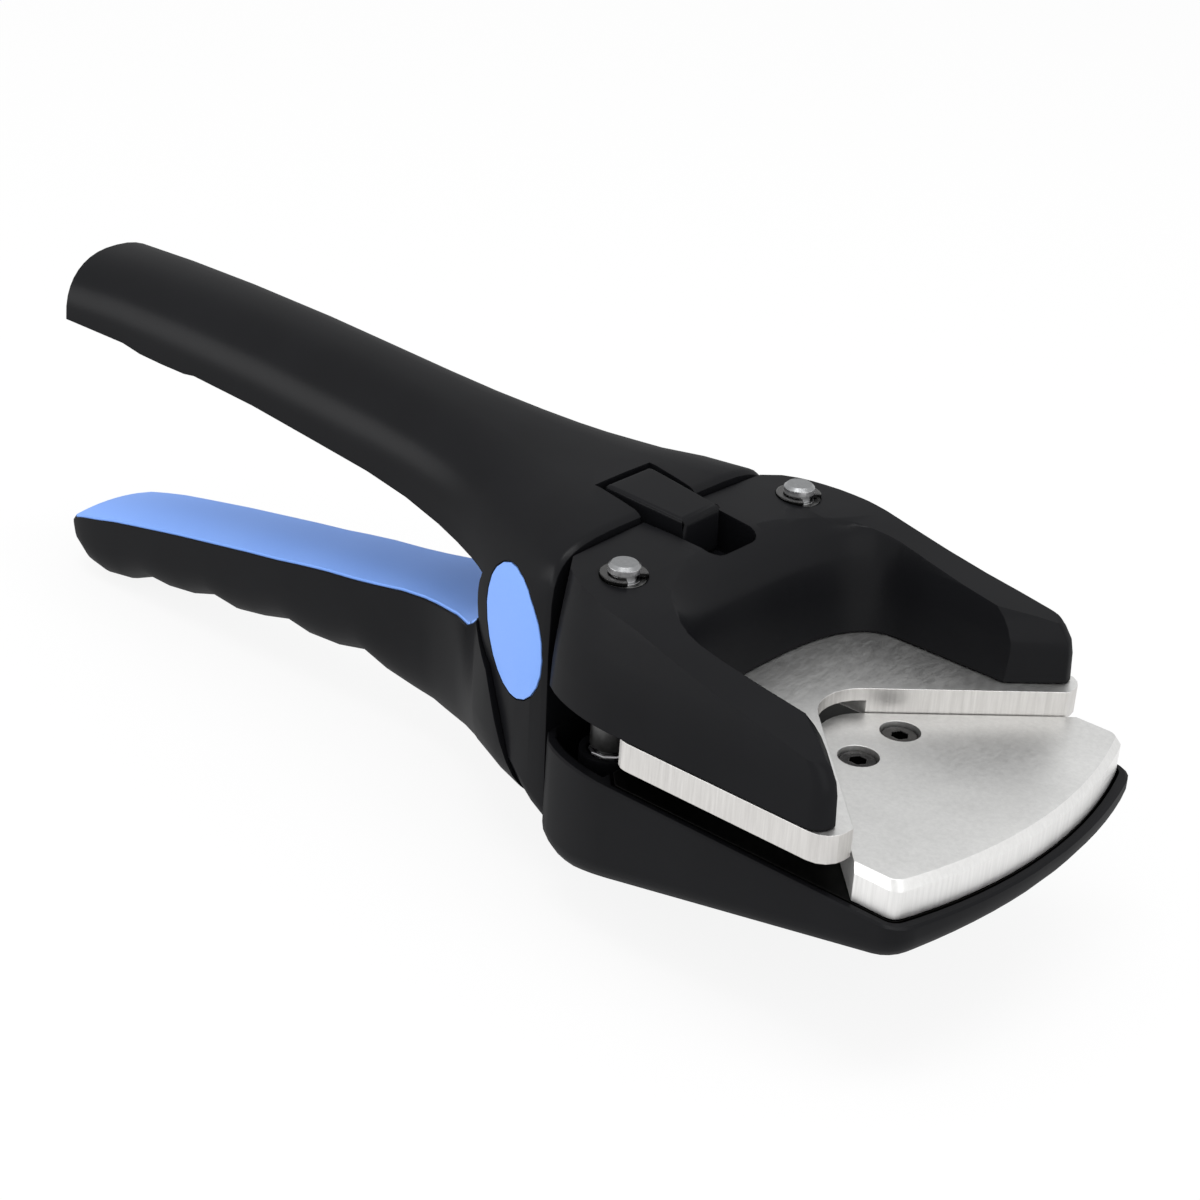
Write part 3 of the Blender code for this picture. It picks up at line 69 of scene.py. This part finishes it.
# Camera: place in metres, angles in degrees, lens in millimetres
CAMERA_PLACE = (0.20189, -0.33072, 0.21567)
CAMERA_AZIMUTH = 39.115
CAMERA_ELEVATION = 26.421
CAMERA_ROLL = 3.972
CAMERA_LENS = 73.29
CAMERA_SENSOR = 36.0
CAMERA_CLIP = (0.01, 10.0)

# Floor: sizes in metres, its own grey, and the share of plain white that the camera sees over it
FLOOR_SIZE = 30.0
FLOOR_GAP = 0.0002
FLOOR_LEVEL = cad_box[0].z - FLOOR_GAP
FLOOR_GREY = 0.86
FLOOR_WHITE = 0.88

# World: its strength as light on matt surfaces
WORLD_STRENGTH = 0.78

# Lamps: places and sizes in metres, power in watts
LAMPS = {
    "key_light": {"place": (-0.30, -0.55, 1.00), "target": (0, 0, 0), "size": (1.2, 1.2), "power": 1.0},
    "top_light": {"place": (0.12, -0.10, 1.05), "target": (0, 0, 0), "size": (0.9, 0.3), "power": 5.4},
    "near_light": {"place": (-0.75, -0.85, 0.14), "target": (-0.12, 0, 0), "size": (0.7, 0.5), "power": 3.8},
    "fill_light": {"place": (0.95, -0.30, 0.50), "target": (0, 0, 0), "size": (0.9, 0.9), "power": 1.8},
}

# Colours, as the dark and the light end that a noise mixes
MOULDING_BLACK = ((0.0050, 0.0051, 0.0059), (0.0080, 0.0082, 0.0095))
GRIP_BLUE = ((0.210, 0.405, 0.970), (0.235, 0.435, 0.990))
CAP_BLUE = ((0.176, 0.345, 0.815), (0.190, 0.362, 0.845))
STEEL_FLAT = ((0.52, 0.52, 0.515), (0.76, 0.76, 0.75))
# painted highlight: the die's upright faces are coloured lighter than its flats, over real cutter marks
DIE_EDGE_PAINTED_HIGHLIGHT = ((0.70, 0.695, 0.685), (0.96, 0.955, 0.945))
# painted shade: the blade's upright faces are coloured darker than the die's, over the same cutter marks
BLADE_EDGE_PAINTED_SHADE = ((0.50, 0.485, 0.470), (0.80, 0.785, 0.765))
# painted shade: the pins' level ends are coloured darker than their sides
PIN_END_PAINTED_SHADE = ((0.15, 0.155, 0.16), (0.27, 0.275, 0.28))
PIN_WALL = ((0.66, 0.66, 0.67), (0.86, 0.86, 0.87))
SPRING_GREY = ((0.34, 0.34, 0.35), (0.46, 0.46, 0.47))
BUSH_GREY = ((0.09, 0.09, 0.09), (0.14, 0.14, 0.14))
PLATE_BLACK = ((0.006, 0.006, 0.006), (0.016, 0.016, 0.015))
# painted shade: near-black colour for the die chute's walls, standing in for the shade inside it
CHUTE_PAINTED_SHADE = ((0.006, 0.006, 0.006), (0.014, 0.014, 0.013))
OXIDE_BLACK = ((0.030, 0.030, 0.031), (0.060, 0.059, 0.058))

# Skins: how far apart welded points are in metres, and the turn from which an edge is sharp, by slot
WELD = 0.000002
SHARP_DEGREES = {"ground_steel": 22, "black_oxide": 30}
PLAIN_SHARP_DEGREES = 34
FLAT_FACE_WEIGHT = 100

# Rounded edges: the radius by node in metres, and which edges are rounded
EDGE_ROUNDS = {"press_arm": 0.0009}
FLAT_RADIANS = 0.004
ROUNDED_OVER_DEGREES = 38
SHORTEST_ROUNDED = 0.002
ROUND_STEPS = 3

# Nodes whose look isn't their slot's
# the blade's own look has its upright faces painted darker as shade
OWN_LOOKS = {"base_plate": "black_plate", "upper_blade": "blade_steel"}

# The clippings chute in the die, whose upright walls get painted shade: its box in metres, and how far its
# walls' normals may tilt
CHUTE_LOW = (-0.0300, -0.0130, -0.0340)
CHUTE_HIGH = (-0.0040, 0.0130, 0.0001)
WALL_TILT = 0.5


# Node helpers
def new_material(name):
    made = bpy.data.materials.new(name)
    made.use_nodes = True
    shader = made.node_tree.nodes["Principled BSDF"]
    return made, made.node_tree, shader


def node(tree, kind, **settings):
    made = tree.nodes.new(kind)
    for name, value in settings.items():
        setattr(made, name, value)
    return made


def noise(tree, place, scale, detail=2.0, roughness=0.5):
    made = node(tree, "ShaderNodeTexNoise")
    made.inputs["Scale"].default_value = scale
    made.inputs["Detail"].default_value = detail
    made.inputs["Roughness"].default_value = roughness
    tree.links.new(place, made.inputs["Vector"])
    return made.outputs["Fac"]


def coordinates(tree, stretch=(1, 1, 1)):
    """Object coordinates, times stretch along each axis."""
    source = node(tree, "ShaderNodeTexCoord")
    mapping = node(tree, "ShaderNodeMapping")
    mapping.inputs["Scale"].default_value = stretch
    tree.links.new(source.outputs["Object"], mapping.inputs["Vector"])
    return mapping.outputs["Vector"]


def spread(tree, value, low, high, start=0.0, end=1.0):
    """A value that goes from start to end, brought to low to high."""
    made = node(tree, "ShaderNodeMapRange")
    for name, number in (("From Min", start), ("From Max", end), ("To Min", low), ("To Max", high)):
        made.inputs[name].default_value = number
    tree.links.new(value, made.inputs["Value"])
    return made.outputs["Result"]


def mixed(tree, factor, colours):
    """The dark colour at 0, and the light one at 1."""
    dark, light = colours
    made = node(tree, "ShaderNodeMix", data_type="RGBA")
    made.inputs["A"].default_value = (*dark, 1)
    made.inputs["B"].default_value = (*light, 1)
    tree.links.new(factor, made.inputs["Factor"])
    return made.outputs["Result"]


def added(tree, first, second, share):
    """first plus share times second."""
    made = node(tree, "ShaderNodeMath", operation="MULTIPLY_ADD")
    made.inputs[1].default_value = share
    tree.links.new(second, made.inputs[0])
    tree.links.new(first, made.inputs[2])
    return made.outputs["Value"]


def side_share(tree):
    """How upright a face stands: 0 on level faces, 1 on the sides."""
    source = node(tree, "ShaderNodeTexCoord")
    split = node(tree, "ShaderNodeSeparateXYZ")
    tree.links.new(source.outputs["Normal"], split.inputs["Vector"])
    size = node(tree, "ShaderNodeMath", operation="ABSOLUTE")
    tree.links.new(split.outputs["Z"], size.inputs[0])
    return spread(tree, size.outputs["Value"], low=1.0, high=0.0, start=0.35, end=0.75)


def by_side(tree, side, level, upright, data_type="RGBA"):
    """One output on level faces and another on the sides."""
    made = node(tree, "ShaderNodeMix", data_type=data_type)
    for name, value in (("Factor", side), ("A", level), ("B", upright)):
        tree.links.new(value, made.inputs[name])
    return made.outputs["Result"]


def relief(tree, shader, height, distance, strength, edge):
    """Bump from a height, over edges that look rounded by edge metres."""
    soft = node(tree, "ShaderNodeBevel", samples=6)
    soft.inputs["Radius"].default_value = edge
    bump = node(tree, "ShaderNodeBump")
    bump.inputs["Strength"].default_value = strength
    bump.inputs["Distance"].default_value = distance
    tree.links.new(height, bump.inputs["Height"])
    tree.links.new(soft.outputs["Normal"], bump.inputs["Normal"])
    tree.links.new(bump.outputs["Normal"], shader.inputs["Normal"])


# Materials
def moulding_material():
    """Black glass-filled nylon with a fine spark-eroded grain."""
    made, tree, shader = new_material("black_moulding_look")
    place = coordinates(tree)
    fine = noise(tree, place, scale=2600, detail=2, roughness=0.6)
    broad = noise(tree, place, scale=60, detail=3)
    both = added(tree, broad, fine, share=0.5)
    rough = spread(tree, both, low=0.34, high=0.46, start=0.3, end=1.1)
    tree.links.new(mixed(tree, broad, MOULDING_BLACK), shader.inputs["Base Color"])
    tree.links.new(rough, shader.inputs["Roughness"])
    shader.inputs["Specular IOR Level"].default_value = 0.0
    shader.inputs["Coat Weight"].default_value = 0.20
    shader.inputs["Coat Roughness"].default_value = 0.30
    relief(tree, shader, fine, distance=0.00005, strength=0.5, edge=0.0007)
    return made


def grip_material():
    """Soft blue strip with a faint grain."""
    made, tree, shader = new_material("blue_grip_look")
    place = coordinates(tree)
    fine = noise(tree, place, scale=2200, detail=2, roughness=0.6)
    broad = noise(tree, place, scale=45, detail=2)
    tree.links.new(mixed(tree, broad, GRIP_BLUE), shader.inputs["Base Color"])
    tree.links.new(spread(tree, fine, low=0.56, high=0.70), shader.inputs["Roughness"])
    shader.inputs["Specular IOR Level"].default_value = 0.30
    relief(tree, shader, fine, distance=0.00004, strength=0.6, edge=0.0003)
    return made


def cap_material():
    """Smoother blue plastic of the oval caps."""
    made, tree, shader = new_material("blue_cap_look")
    place = coordinates(tree)
    fine = noise(tree, place, scale=1800, detail=2)
    broad = noise(tree, place, scale=80, detail=2)
    tree.links.new(mixed(tree, broad, CAP_BLUE), shader.inputs["Base Color"])
    tree.links.new(spread(tree, fine, low=0.42, high=0.54), shader.inputs["Roughness"])
    shader.inputs["Specular IOR Level"].default_value = 0.35
    relief(tree, shader, fine, distance=0.00002, strength=0.5, edge=0.0003)
    return made


def steel_material(name, painted_edge_colours):
    """Ground steel: clouded on its flats, with upright cutter marks down its edges, whose colour is painted
    lighter or darker than the flats as highlight or shade.
    """
    made, tree, shader = new_material(name)
    side = side_share(tree)
    strokes = noise(tree, coordinates(tree, (1, 0.25, 1)), scale=1500, detail=3, roughness=0.6)
    marks = noise(tree, coordinates(tree, (1, 1, 0.06)), scale=1500, detail=3, roughness=0.6)
    clouds = noise(tree, coordinates(tree), scale=38, detail=5, roughness=0.6)
    specks = noise(tree, coordinates(tree), scale=900, detail=4, roughness=0.7)
    cloudy = spread(tree, added(tree, clouds, specks, share=0.8), low=0.0, high=1.0, start=0.45, end=1.35)
    rough = spread(tree, added(tree, strokes, clouds, share=0.2), low=0.36, high=0.48, start=0.3, end=0.9)
    colour = by_side(tree, side, mixed(tree, cloudy, STEEL_FLAT), mixed(tree, marks, painted_edge_colours))
    height = by_side(tree, side, strokes, marks, data_type="FLOAT")
    tree.links.new(colour, shader.inputs["Base Color"])
    tree.links.new(rough, shader.inputs["Roughness"])
    shader.inputs["Metallic"].default_value = 1.0
    relief(tree, shader, height, distance=0.00001, strength=0.5, edge=0.0002)
    return made


def pin_material():
    """Turned pin: its level end is painted dark as shade, and its chamfer and side are bright."""
    made, tree, shader = new_material("bright_pin_look")
    side = side_share(tree)
    turned = noise(tree, coordinates(tree), scale=1500, detail=3, roughness=0.6)
    # level faces take the painted shade, upright faces the bright wall colour
    colour = by_side(tree, side, mixed(tree, turned, PIN_END_PAINTED_SHADE), mixed(tree, turned, PIN_WALL))
    tree.links.new(colour, shader.inputs["Base Color"])
    tree.links.new(spread(tree, turned, low=0.24, high=0.40), shader.inputs["Roughness"])
    shader.inputs["Metallic"].default_value = 1.0
    relief(tree, shader, turned, distance=0.00001, strength=0.3, edge=0.00015)
    return made


def plain_metal(name, colours, rough, edge=0.0002):
    """Metal with one fine noise in its colour, gloss and relief."""
    made, tree, shader = new_material(name)
    fine = noise(tree, coordinates(tree), scale=900, detail=3)
    tree.links.new(mixed(tree, fine, colours), shader.inputs["Base Color"])
    tree.links.new(spread(tree, fine, low=rough * 0.8, high=rough * 1.2), shader.inputs["Roughness"])
    shader.inputs["Metallic"].default_value = 1.0
    relief(tree, shader, fine, distance=0.00001, strength=0.3, edge=edge)
    return made


LOOKS = {
    "black_moulding": moulding_material(),
    "blue_grip": grip_material(),
    "blue_cap": cap_material(),
    # the die's upright faces carry a painted highlight, the blade's a painted shade
    "ground_steel": steel_material("ground_steel_look", DIE_EDGE_PAINTED_HIGHLIGHT),
    "blade_steel": steel_material("blade_steel_painted_shade_look", BLADE_EDGE_PAINTED_SHADE),
    "bright_pin": pin_material(),
    "spring_wire": plain_metal("spring_wire_look", SPRING_GREY, rough=0.30),
    "bush_steel": plain_metal("bush_steel_look", BUSH_GREY, rough=0.35),
    "black_plate": plain_metal("black_plate_look", PLATE_BLACK, rough=0.42),
    # painted shade for the upright walls inside the die's chute
    "chute_painted_shade": plain_metal("chute_painted_shade_look", CHUTE_PAINTED_SHADE, rough=0.70, edge=0.0001),
    "black_oxide": plain_metal("black_oxide_look", OXIDE_BLACK, rough=0.26, edge=0.0004),
}


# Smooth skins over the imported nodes
def round_edges(source, width):
    """Rounds the long outer edges, which the solid has sharp."""
    turn = math.radians(ROUNDED_OVER_DEGREES)
    chosen = [
        edge
        for edge in source.edges
        if len(edge.link_faces) == 2
        and edge.is_convex
        and edge.calc_face_angle(0) > turn
        and edge.calc_length() > SHORTEST_ROUNDED
    ]
    bmesh.ops.bevel(
        source,
        geom=chosen,
        offset=width,
        offset_type="OFFSET",
        segments=ROUND_STEPS,
        profile=0.5,
        affect="EDGES",
        clamp_overlap=False,
    )


def mark_smooth(source, slot):
    """Every face is smooth, and the edges that turn past the slot's limit stay sharp."""
    limit = math.radians(SHARP_DEGREES.get(slot, PLAIN_SHARP_DEGREES))
    for face in source.faces:
        face.smooth = True
    for edge in source.edges:
        edge.smooth = len(edge.link_faces) == 2 and edge.calc_face_angle(0) < limit


def skin_mesh(name, slot):
    """The node's own surface, welded, and smooth but for its sharp edges."""
    source = bmesh.new()
    source.from_mesh(NODES[name].data)
    bmesh.ops.remove_doubles(source, verts=source.verts, dist=WELD)
    if name in EDGE_ROUNDS:
        bmesh.ops.dissolve_limit(source, angle_limit=FLAT_RADIANS, verts=source.verts, edges=source.edges)
        round_edges(source, EDGE_ROUNDS[name])
    mark_smooth(source, slot)
    mesh = bpy.data.meshes.new(name + "_skin")
    source.to_mesh(mesh)
    source.free()
    return mesh


def smooth_skin(name, body, look, slot):
    """The piece that stands for a node, with the node's surface."""
    mesh = skin_mesh(name, slot)
    mesh.materials.append(LOOKS[look])
    made = bpy.data.objects.new(name + "_skin", mesh)
    bpy.context.scene.collection.objects.link(made)
    normals = made.modifiers.new("flat_faces_lead", "WEIGHTED_NORMAL")
    normals.keep_sharp = True
    normals.weight = FLAT_FACE_WEIGHT
    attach(made, body)
    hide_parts(name)
    return made


def paint_chute_shade(made):
    """The chute's upright walls get a near-black painted shade, from the die's top down."""
    made.data.materials.append(LOOKS["chute_painted_shade"])
    for face in made.data.polygons:
        inside = all(CHUTE_LOW[i] < face.center[i] < CHUTE_HIGH[i] for i in range(3))
        if inside and abs(face.normal.z) < WALL_TILT:
            face.material_index = 1


def shorten_with_head(made):
    """A spring's skin gets a mesh of its own."""
    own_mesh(made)


def dress(name, body, slot):
    """A node's skin, with what the die and the springs have besides."""
    made = smooth_skin(name, body, OWN_LOOKS.get(name, slot), slot)
    # the die's chute walls get painted shade
    if name == "die_block":
        paint_chute_shade(made)
    if slot == "spring_wire":
        shorten_with_head(made)


BODY_OF = {
    name: body
    for body, names in frame["record"]["behaviour"]["bodies"].items()
    for name in names
}
for row in frame["record"]["subparts"]:
    dress(row["node"], BODY_OF[row["node"]], row["material_slot"])


# Floor, light and camera
def white_seen(tree, lit, kind, share, target):
    """Camera, glossy and transmission rays see a share of plain white over the surface's own light."""
    seen = node(tree, kind)
    seen.inputs["Color"].default_value = (1, 1, 1, 1)
    path = node(tree, "ShaderNodeLightPath")
    total = path.outputs["Is Camera Ray"]
    for ray in ("Is Glossy Ray", "Is Transmission Ray"):
        either = node(tree, "ShaderNodeMath", operation="MAXIMUM")
        tree.links.new(total, either.inputs[0])
        tree.links.new(path.outputs[ray], either.inputs[1])
        total = either.outputs["Value"]
    mix = node(tree, "ShaderNodeMixShader")
    tree.links.new(spread(tree, total, low=0.0, high=share), mix.inputs["Fac"])
    tree.links.new(lit, mix.inputs[1])
    tree.links.new(seen.outputs[0], mix.inputs[2])
    tree.links.new(mix.outputs["Shader"], target)


def floor_material():
    """Pale and matt, so it keeps the object's shadow."""
    made, tree, shader = new_material("floor_look")
    shader.inputs["Base Color"].default_value = (FLOOR_GREY, FLOOR_GREY, FLOOR_GREY, 1)
    shader.inputs["Roughness"].default_value = 0.9
    shader.inputs["Specular IOR Level"].default_value = 0.0
    surface = tree.nodes["Material Output"].inputs["Surface"]
    white_seen(tree, shader.outputs["BSDF"], "ShaderNodeEmission", FLOOR_WHITE, surface)
    return made


def add_floor():
    mesh = bpy.data.meshes.new("studio_floor")
    half = FLOOR_SIZE / 2
    sides = ((-1, -1), (1, -1), (1, 1), (-1, 1))
    corners = [(half * x, half * y, FLOOR_LEVEL) for x, y in sides]
    mesh.from_pydata(corners, [], [(0, 1, 2, 3)])
    mesh.materials.append(floor_material())
    made = bpy.data.objects.new("studio_floor", mesh)
    bpy.context.scene.collection.objects.link(made)


def add_world():
    """Plain white to the camera and in reflections, and weaker as light on matt surfaces."""
    made = bpy.data.worlds.new("studio_world")
    made.use_nodes = True
    tree = made.node_tree
    background = tree.nodes["Background"]
    background.inputs["Color"].default_value = (1, 1, 1, 1)
    background.inputs["Strength"].default_value = WORLD_STRENGTH
    surface = tree.nodes["World Output"].inputs["Surface"]
    white_seen(tree, background.outputs["Background"], "ShaderNodeBackground", 1, surface)
    bpy.context.scene.world = made


def add_lamp(name, place, target, size, power):
    lamp = bpy.data.lights.new(name, "AREA")
    lamp.shape = "RECTANGLE"
    lamp.size, lamp.size_y = size
    lamp.energy = power
    made = bpy.data.objects.new(name, lamp)
    made.location = place
    made.rotation_euler = (Vector(target) - Vector(place)).to_track_quat("-Z", "Y").to_euler()
    bpy.context.scene.collection.objects.link(made)


def add_camera():
    """The view's axes come from its azimuth and elevation, and its roll about the line of sight."""
    turn, tilt, roll = (math.radians(a) for a in (CAMERA_AZIMUTH, CAMERA_ELEVATION, CAMERA_ROLL))
    back = Vector((math.sin(turn) * math.cos(tilt), -math.cos(turn) * math.cos(tilt), math.sin(tilt)))
    level = Vector((0, 0, 1)).cross(back).normalized()
    rise = back.cross(level)
    right = level * math.cos(roll) + rise * math.sin(roll)
    up = rise * math.cos(roll) - level * math.sin(roll)
    lens = bpy.data.cameras.new("photo_camera")
    lens.lens = CAMERA_LENS
    lens.sensor_width = CAMERA_SENSOR
    lens.clip_start, lens.clip_end = CAMERA_CLIP
    made = bpy.data.objects.new("photo_camera", lens)
    bpy.context.scene.collection.objects.link(made)
    axes = Matrix((right, up, back)).transposed().to_4x4()
    made.matrix_world = Matrix.Translation(CAMERA_PLACE) @ axes
    bpy.context.scene.camera = made


add_floor()
add_world()
for lamp_name, lamp_values in LAMPS.items():
    add_lamp(lamp_name, **lamp_values)
add_camera()
bpy.context.scene.view_settings.view_transform = "Standard"
